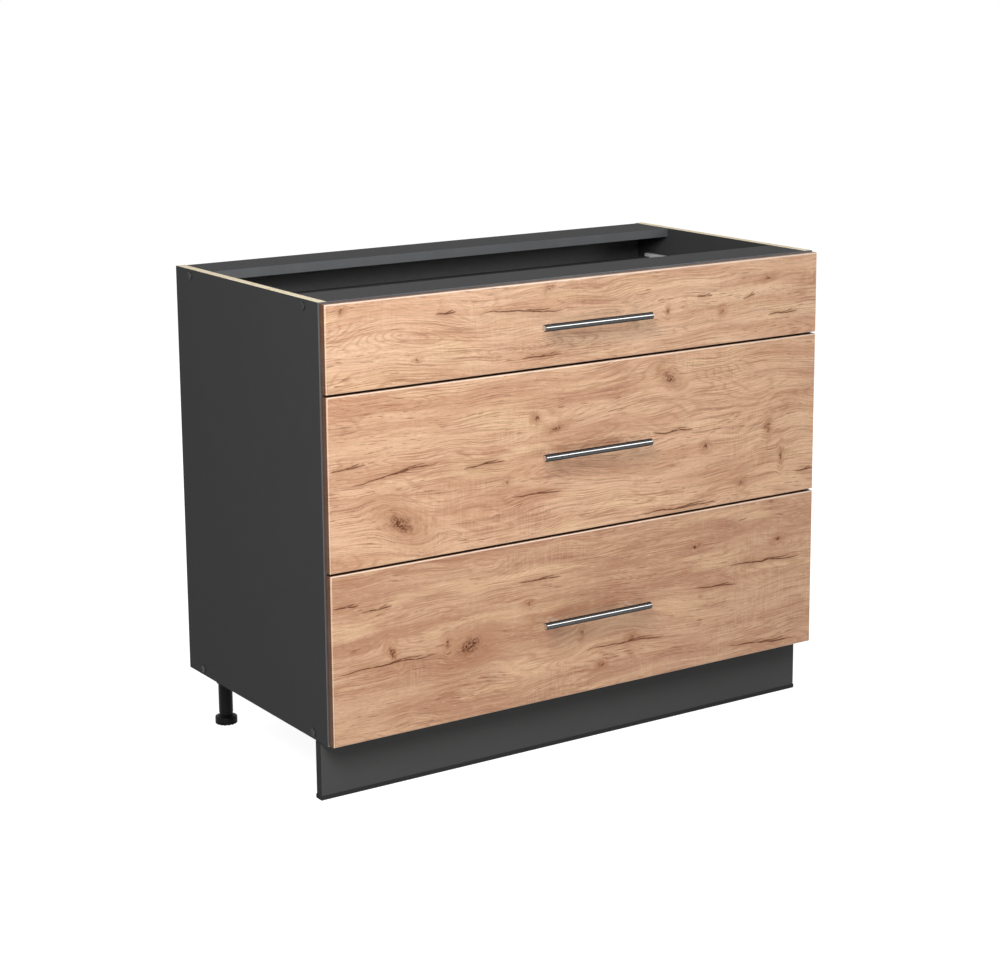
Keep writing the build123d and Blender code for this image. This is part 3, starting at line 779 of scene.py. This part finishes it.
def settled(made, *helpers):
    """The plain mesh that an object's modifiers give. The working objects are removed."""
    graph = bpy.context.evaluated_depsgraph_get()
    seen = made.evaluated_get(graph)
    mesh = bpy.data.meshes.new_from_object(seen, preserve_all_data_layers=True, depsgraph=graph)
    for worker in (made, *helpers):
        bpy.data.objects.remove(worker)
    return mesh


def carve(mesh, cutter, operation="DIFFERENCE"):
    """Cut one mesh with another, or join them, and return the plain result."""
    body = on_stage("work_body", mesh)
    tool = on_stage("work_tool", cutter)
    boolean = body.modifiers.new("cut", "BOOLEAN")
    boolean.operation = operation
    boolean.material_mode = "TRANSFER"
    boolean.object = tool
    return settled(body, tool)


print(f"corners over {math.degrees(SHARP):.0f} degrees stay sharp")


# %% Helpers that read the frame and put pieces in the scene
def install(name, mesh, body, slot, *stands_for):
    """Put a finished mesh in the scene: on its body, for the nodes it stands for, which it hides. The slot
    is not used.
    """
    mesh.name = name
    made = on_stage(name, mesh)
    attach(made, body)
    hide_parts(*stands_for)
    return made


def solids(name):
    """The points of each separate solid of a node, from a merged copy of its mesh."""
    copy = bmesh.new()
    copy.from_mesh(nodes[name].data)
    bmesh.ops.remove_doubles(copy, verts=copy.verts, dist=0.01 * MM)
    waiting = set(copy.verts)
    found = []
    for first in copy.verts:
        if first not in waiting:
            continue
        waiting.remove(first)
        reached = [first]
        for vert in reached:
            for edge in vert.link_edges:
                other = edge.other_vert(vert)
                if other in waiting:
                    waiting.remove(other)
                    reached.append(other)
        found.append([vert.co.copy() for vert in reached])
    copy.free()
    return found


def box_of(points):
    low = Vector([min(p[i] for p in points) for i in range(3)])
    high = Vector([max(p[i] for p in points) for i in range(3)])
    return low, high


print(len(solids("runner_screws")), "runner screws in the frame")


# %% A Geometry Nodes tree that copies a pattern onto points
def copies_tree():
    tree = bpy.data.node_groups.new("copies_on_points", "GeometryNodeTree")
    wanted = (("Points", "Geometry"), ("Pattern", "Object"), ("Width", "Float"), ("Finish", "Material"))
    for title, kind in wanted:
        tree.interface.new_socket(title, in_out="INPUT", socket_type="NodeSocket" + kind)
    tree.interface.new_socket("Copies", in_out="OUTPUT", socket_type="NodeSocketGeometry")
    given = add(tree, "NodeGroupInput").node.outputs
    facing = add(tree, "GeometryNodeInputNamedAttribute", {"Name": "facing"}, data_type="FLOAT_VECTOR")
    turn = add(tree, "FunctionNodeAlignRotationToVector", {"Vector": facing}, axis="Z")
    pattern = add(tree, "GeometryNodeObjectInfo", {"Object": given["Pattern"]}, out="Geometry")
    spots = {"Points": given["Points"], "Instance": pattern, "Rotation": turn, "Scale": given["Width"]}
    placed = add(tree, "GeometryNodeInstanceOnPoints", spots)
    real = add(tree, "GeometryNodeRealizeInstances", {"Geometry": placed})
    done = add(tree, "GeometryNodeSetMaterial", {"Geometry": real, "Material": given["Finish"]})
    add(tree, "NodeGroupOutput", {"Copies": done})
    return tree


COPIES = copies_tree()
SOCKETS = {item.name: item.identifier for item in COPIES.interface.items_tree if item.in_out == "INPUT"}


def copies(pattern, spots, width, finish):
    """A copy of the pattern, of the given width, on each spot: a point and the way it faces."""
    points = bpy.data.meshes.new("work_points")
    points.from_pydata([place for place, way in spots], [], [])
    facing = points.attributes.new("facing", "FLOAT_VECTOR", "POINT")
    for row, (place, way) in zip(facing.data, spots):
        row.vector = way
    holder = on_stage("work_points", points)
    model = on_stage("work_pattern", pattern)
    modifier = holder.modifiers.new("copies", "NODES")
    modifier.node_group = COPIES
    modifier[SOCKETS["Pattern"]] = model
    modifier[SOCKETS["Width"]] = width
    modifier[SOCKETS["Finish"]] = finish
    mesh = settled(holder, model)
    mesh.set_sharp_from_angle(angle=SHARP)
    return mesh


print("inputs of the tree:", ", ".join(SOCKETS))

# %% [markdown]
# ## Drawer fronts
# Each front is a flat board with its front edges rounded to 3 mm and the film drawn over them, so the grain
# runs round onto the sides. A box with a bevel gives that shape. Weighted normals keep the large face flat
# to the eye while the rounding stays smooth. Along the rounding the film is paled, a painted highlight, and
# on the flat narrow sides it is covered by a dark brown, a painted shade. The back is plain pale melamine.

# %% Make the fronts
front_round = 3 * MM
for drawer in DRAWERS:
    low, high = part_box(f"{drawer}_drawer_front")
    shape = bmesh.new()
    bmesh.ops.create_cube(shape, size=1.0)
    place = Matrix.Translation((low + high) / 2) @ Matrix.Diagonal((*(high - low), 1))
    bmesh.ops.transform(shape, matrix=place, verts=shape.verts)
    rim = [edge for edge in shape.edges if all(v.co.y < low.y + MM for v in edge.verts)]
    bmesh.ops.bevel(shape, geom=rim, offset=front_round, segments=6, profile=0.5, affect="EDGES")
    for face in shape.faces:
        face.material_index = 1 if face.normal.y > FACING else 0
    board = on_stage("work_front", mesh_of(shape, "front", oak[drawer], pale_melamine))
    board.modifiers.new("flat_faces", "WEIGHTED_NORMAL").keep_sharp = True
    film = settled(board)
    install(f"{drawer}_front", film, f"{drawer}_drawer", "oak_decor_front", f"{drawer}_drawer_front")
    print(f"{drawer} front {(high.x - low.x) / MM:.0f} x {(high.z - low.z) / MM:.1f} mm")

# %% [markdown]
# ## Bar handles
# A handle is a ground and polished steel bar on two posts, screwed from inside. The bar's ends are
# chamfered. Bar and posts are turned and joined into one skin, so the light runs cleanly over the joint.

# %% Make the handles
end_chamfer = 1 * MM
end_zone = 1.1 * end_chamfer
fine_break = 0.01 * MM


def round_bar(radius, length, chamfer, sides):
    """A bar along Z from zero, chamfered at both ends."""
    profile = (
        (0, 0), (radius - chamfer, 0), (radius, chamfer),
        (radius, length - chamfer), (radius - chamfer, length), (0, length),
    )
    return turned(profile, sides)


TO_RIGHT = Matrix.Rotation(math.radians(90), 4, "Y")
TO_BACK = Matrix.Rotation(math.radians(-90), 4, "X")
for drawer in DRAWERS:
    low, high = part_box(f"{drawer}_handle_bar")
    radius = (high.z - low.z) / 2
    axis = Vector((low.x, (low.y + high.y) / 2, (low.z + high.z) / 2))
    bar = round_bar(radius, high.x - low.x, end_chamfer, 64)
    bmesh.ops.transform(bar, matrix=Matrix.Translation(axis) @ TO_RIGHT, verts=bar.verts)
    handle = mesh_of(bar, "bar", handle_steel)
    for points in solids(f"{drawer}_handle_posts"):
        near, far = box_of(points)
        post = round_bar((far.x - near.x) / 2, far.y - axis.y, fine_break, 48)
        foot = Vector(((near.x + far.x) / 2, axis.y, axis.z))
        bmesh.ops.transform(post, matrix=Matrix.Translation(foot) @ TO_BACK, verts=post.verts)
        handle = carve(handle, mesh_of(post, "post", painted_bright_steel), "UNION")
    # The bar's flat end faces take the pale steel: a painted highlight.
    for face in handle.polygons:
        from_end = min(face.center.x - low.x, high.x - face.center.x)
        if abs(face.normal.x) > FACING and from_end < end_zone:
            face.material_index = handle.materials.find(painted_bright_steel.name)
    handle.set_sharp_from_angle(angle=SHARP)
    replaced = (f"{drawer}_handle_bar", f"{drawer}_handle_posts")
    install(f"{drawer}_handle", handle, f"{drawer}_drawer", "handle_steel", *replaced)
print(f"three handles {(high.x - low.x) / MM:.0f} mm long, {2 * radius / MM:.0f} mm thick")

# %% [markdown]
# ## Screws and cover caps
# Everything is held by pan-head screws with a cross recess, and the four carcass screws in each side
# wear a plastic cap. A screw is drawn once, with a head one unit wide. Its solids in the frame say
# where each one sits and which way its head looks.

# %% Draw a screw and a cap, one unit wide
# All in widths of the head. The taper is how much narrower the recess is at its bottom.
HEAD_RISE = 0.286
RECESS_LONG, RECESS_WIDE, RECESS_DEEP = 0.62, 0.13, 0.34
RECESS_TAPER = 0.55


def screw_pattern():
    """A pan head with a cross recess on a plain pointed shank. Threads stay hidden in the board."""
    head = (
        (0, HEAD_RISE), (0.16, 0.28), (0.30, 0.25), (0.42, 0.19), (0.48, 0.11), (0.5, 0.04), (0.5, 0),
        (0.24, 0), (0.24, -1.5), (0, -1.9),
    )
    screw = mesh_of(turned(head, 24), "screw", zinc)
    cross = bmesh.new()
    for sides in ((RECESS_LONG, RECESS_WIDE), (RECESS_WIDE, RECESS_LONG)):
        made = bmesh.ops.create_cube(cross, size=1.0)["verts"]
        place = Matrix.Translation((0, 0, HEAD_RISE)) @ Matrix.Diagonal((*sides, RECESS_DEEP, 1))
        bmesh.ops.transform(cross, matrix=place, verts=made)
        for vert in made:
            if vert.co.z < HEAD_RISE:
                vert.co.x *= RECESS_TAPER
                vert.co.y *= RECESS_TAPER
    bars = mesh_of(cross, "cross", zinc)
    return carve(screw, bars)


def cap_pattern():
    """A low cap with a rounded rim and a slightly sunk middle."""
    dome = (
        (0, 0.112), (0.2, 0.114), (0.32, 0.124), (0.38, 0.1286), (0.43, 0.122), (0.47, 0.1),
        (0.49, 0.06), (0.5, 0.0), (0, 0.0),
    )
    return mesh_of(turned(dome, 40), "cap", cap_plastic)


print(f"a pan head is {HEAD_RISE:.0%} of its width high")


# %% Set the screws
BOARD_SCREW_HEAD = 7 * MM
HANDLE_SCREW_HEAD = 8 * MM


def head_spots(name):
    """Where each screw's head sits on its board, and the way that it faces."""
    spots = []
    for points in solids(name):
        low, high = box_of(points)
        along = max(range(3), key=lambda i: high[i] - low[i])
        middle = (low + high) / 2
        spread = {}
        for end in (low[along], high[along]):
            near = [p - middle for p in points if abs(p[along] - end) < 0.1 * MM]
            for p in near:
                p[along] = 0
            spread[end] = max(p.length for p in near)
        top = max(spread, key=spread.get)
        way = Vector((0, 0, 0))
        way[along] = 1 if top == high[along] else -1
        seat = middle.copy()
        seat[along] = top
        spots.append((seat - way * 2 * spread[top] * HEAD_RISE, way))
    return spots


SCREW_SETS = [
    ("leg_socket_screws", "carcass", BOARD_SCREW_HEAD),
    ("runner_screws", "carcass", BOARD_SCREW_HEAD),
]
for drawer in DRAWERS:
    SCREW_SETS.append((f"{drawer}_drawer_screws", f"{drawer}_drawer", BOARD_SCREW_HEAD))
    SCREW_SETS.append((f"{drawer}_handle_screws", f"{drawer}_drawer", HANDLE_SCREW_HEAD))
screws_made = 0
for name, body, head_width in SCREW_SETS:
    spots = head_spots(name)
    mesh = copies(screw_pattern(), spots, head_width, zinc)
    install(f"{name}_pan_head", mesh, body, "zinc_steel", name)
    screws_made += len(spots)
print(f"{screws_made} screws in {len(SCREW_SETS)} sets")

# %% Set the caps
cap_width = 14 * MM
cap_spots = []
for points in solids("screw_cover_caps"):
    low, high = box_of(points)
    outward = 1 if low.x > 0 else -1
    seat = Vector((low.x if outward > 0 else high.x, (low.y + high.y) / 2, (low.z + high.z) / 2))
    cap_spots.append((seat, Vector((outward, 0, 0))))
caps = copies(cap_pattern(), cap_spots, cap_width, cap_plastic)
install("screw_caps", caps, "carcass", "dark_cap", "screw_cover_caps")
print(f"{len(cap_spots)} caps {cap_width / MM:.0f} mm across")

# %% [markdown]
# ## Rollers, legs and feet
# Each drawer runs on four nylon rollers with a rim and a hub. The legs are black plastic tubes in
# sockets under the floor, and a screw foot with a notched rim turns in each, so that the cabinet can be
# levelled.

# %% Make the rollers
def roller_pattern():
    """A wheel one unit wide with rounded rims and a dished side, bored for its axle."""
    half = 0.2
    profile = (
        (0.13, -half), (0.22, -half), (0.24, -half + 0.05), (0.38, -half + 0.05), (0.40, -half),
        (0.46, -half), (0.49, -half + 0.025), (0.5, -half + 0.06), (0.5, half - 0.06), (0.49, half - 0.025),
        (0.46, half), (0.40, half), (0.38, half - 0.05), (0.24, half - 0.05), (0.22, half), (0.13, half),
    )
    return mesh_of(turned(profile, 40, ring=True), "roller", nylon)


for drawer in DRAWERS:
    for kind in ("cabinet", "drawer"):
        name = f"{drawer}_{kind}_rollers"
        spots = []
        for points in solids(name):
            low, high = box_of(points)
            spots.append(((low + high) / 2, Vector((1, 0, 0))))
        mesh = copies(roller_pattern(), spots, high.z - low.z, nylon)
        install(f"{name}_turned", mesh, f"{drawer}_{kind}_roller_pair", "white_nylon", name)
print(f"12 rollers {(high.z - low.z) / MM:.0f} mm across")

# %% Make the legs
leg_spots = []
for points in solids("leg_tubes"):
    low, high = box_of(points)
    leg_spots.append((Vector(((low.x + high.x) / 2, (low.y + high.y) / 2, low.z)), Vector((0, 0, 1))))
tube_width = high.x - low.x
tube_height = (high.z - low.z) / tube_width


def tube_pattern():
    """A hollow leg one unit wide, with a turned-in lower end and a chamfer at the top."""
    bore = 0.36
    profile = (
        (bore, 0), (0.46, 0), (0.48, 0.02), (0.48, 0.16), (0.5, 0.18), (0.5, tube_height - 0.02),
        (0.48, tube_height), (bore, tube_height),
    )
    return mesh_of(turned(profile, 48, ring=True), "tube", black_abs)


tubes = copies(tube_pattern(), leg_spots, tube_width, black_abs)
install("leg_tubes_round", tubes, "carcass", "black_plastic", "leg_tubes")
print(f"{len(leg_spots)} legs {tube_width / MM:.0f} mm thick, {(high.z - low.z) / MM:.0f} mm long")

# %% Make the feet
foot_low, foot_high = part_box("front_left_foot")
foot_width = foot_high.x - foot_low.x
rim_height = 13 * MM
shoulder_height = 16 * MM
notch_count = 16
notch_width = 3.4 * MM
notch_depth = 2.4 * MM
notch_height = 5 * MM
stem_radius = 8.7 * MM


def foot_mesh(middle, top):
    """A foot standing at a point: notched rim, shoulder up to the leg, and the stem inside it."""
    radius = foot_width / 2
    neck = tube_width / 2
    profile = (
        (0, 0), (radius - 0.8 * MM, 0), (radius, 0.8 * MM), (radius, rim_height - 1.5 * MM),
        (radius - 0.5 * MM, rim_height - 0.5 * MM), (radius - 1.6 * MM, rim_height),
        (neck + 1.5 * MM, shoulder_height - MM), (neck, shoulder_height),
        (stem_radius, shoulder_height), (stem_radius, top - MM), (stem_radius - MM, top), (0, top),
    )
    body = mesh_of(turned(profile, 64), "foot", black_abs)
    cutter = bmesh.new()
    for i in range(notch_count):
        made = bmesh.ops.create_cube(cutter, size=1.0)["verts"]
        slot = Matrix.Diagonal((2 * notch_depth, notch_width, 2 * notch_height, 1))
        turn = Matrix.Rotation(2 * math.pi * i / notch_count, 4, "Z")
        place = turn @ Matrix.Translation((radius, 0, 0)) @ slot
        bmesh.ops.transform(cutter, matrix=place, verts=made)
    mesh = carve(body, mesh_of(cutter, "notches", black_abs))
    mesh.set_sharp_from_angle(angle=SHARP)
    mesh.transform(Matrix.Translation(middle))
    return mesh


for corner in ("front_left", "front_right", "rear_left", "rear_right"):
    low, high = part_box(f"{corner}_foot")
    middle = Vector(((low.x + high.x) / 2, (low.y + high.y) / 2, 0))
    mesh = foot_mesh(middle, high.z)
    install(f"{corner}_screw_foot", mesh, f"{corner}_foot", "black_plastic", f"{corner}_foot")
print(f"four feet {foot_width / MM:.0f} mm across with {notch_count} notches")

# %% [markdown]
# ## Floor and light
# A product shot on white: a pale floor, a large soft light in front on the left, a low one in front that
# reaches the plinth, and one behind on the right. A strip on the right is seen only in reflections, and
# draws the white line along the handles. The background is white because the floor and the world show
# white to the camera and in reflections, while the light that they give the cabinet stays at a plain level.

# %% Make the floor
# In metres, wide enough to reach the horizon. The lift is the white that the floor adds as a background.
FLOOR_RADIUS = 40.0
FLOOR_LIFT = 0.92


def shows_white(tree):
    """1 for a ray that shows the background: to the camera, by reflection or through glass. Otherwise 0."""
    rays = add(tree, "ShaderNodeLightPath").node.outputs
    seen = add(tree, MATH, {0: rays["Is Camera Ray"], 1: rays["Is Glossy Ray"]}, operation="MAXIMUM")
    return add(tree, MATH, {0: seen, 1: rays["Is Transmission Ray"]}, operation="MAXIMUM")


floor_shape = bmesh.new()
bmesh.ops.create_circle(floor_shape, cap_ends=True, segments=96, radius=FLOOR_RADIUS)
floor_paint = new_material("studio_floor")
tree = floor_paint.node_tree
grit = speckle(tree, place_mm(tree), (30, 30, 30), 2.0)
mixed = {0: grit, MIX_A: srgb("#a8a8a7"), MIX_B: srgb("#a4a4a3")}
tone = add(tree, MIX, mixed, out=MIX_COLOUR, data_type="RGBA")
paint = add(tree, "ShaderNodeBsdfDiffuse", {"Color": tone})
lift = add(tree, MATH, {0: shows_white(tree), 1: FLOOR_LIFT}, operation="MULTIPLY")
glow = add(tree, "ShaderNodeEmission", {"Color": srgb("#ffffff"), "Strength": lift})
lit = add(tree, "ShaderNodeAddShader", {0: paint, 1: glow})

# From below, the floor is clear, so that the underside of the cabinet can be looked at.
below = add(tree, "ShaderNodeNewGeometry", out="Backfacing")
clear = add(tree, "ShaderNodeBsdfTransparent")
surface = add(tree, "ShaderNodeMixShader", {0: below, 1: lit, 2: clear})
add(tree, "ShaderNodeOutputMaterial", {"Surface": surface})
floor = on_stage("floor", mesh_of(floor_shape, "floor", floor_paint))
print(f"floor {2 * FLOOR_RADIUS:.0f} m across")

# %% Make the world
AMBIENT = 0.33
world = bpy.data.worlds.new("white_studio")
world.use_nodes = True
bpy.context.scene.world = world
tree = world.node_tree
tree.nodes.clear()
strength = add(tree, RANGE, {"Value": shows_white(tree), 3: AMBIENT, 4: 1.0})
sky = add(tree, "ShaderNodeBackground", {"Color": srgb("#ffffff"), "Strength": strength})
add(tree, "ShaderNodeOutputWorld", {"Surface": sky})
print(f"the world lights the cabinet at {AMBIENT}")


# %% Make the lights
def softbox(name, place, target, width, height, watts, glossy=True, diffuse=True):
    """An area light that looks at a point of the cabinet, for gloss, for matt surfaces or for both."""
    lamp = bpy.data.lights.new(name, "AREA")
    lamp.shape = "RECTANGLE"
    lamp.size = width
    lamp.size_y = height
    lamp.energy = watts
    made = bpy.data.objects.new(name, lamp)
    aim = Vector(target) - Vector(place)
    made.matrix_world = Matrix.Translation(place) @ aim.to_track_quat("-Z", "Y").to_matrix().to_4x4()
    made.visible_glossy = glossy
    made.visible_diffuse = diffuse
    bpy.context.scene.collection.objects.link(made)


softbox("key", (-1.74, -1.94, 2.2), (-0.1, -0.25, 0.6), 1.2, 1.4, 70)
softbox("low fill", (-0.3, -2.6, 0.3), (0.0, -0.2, 0.05), 2.2, 0.4, 10, glossy=False)
softbox("rear fill", (2.2, 1.8, 1.5), (0.2, 0.0, 0.45), 1.6, 1.6, 36, glossy=False)
softbox("strip", (1.6, -2.3, 1.6), (0.0, -0.27, 0.5), 0.6, 0.8, 34, diffuse=False)
bpy.context.scene.view_settings.view_transform = "Standard"
print("four softboxes")
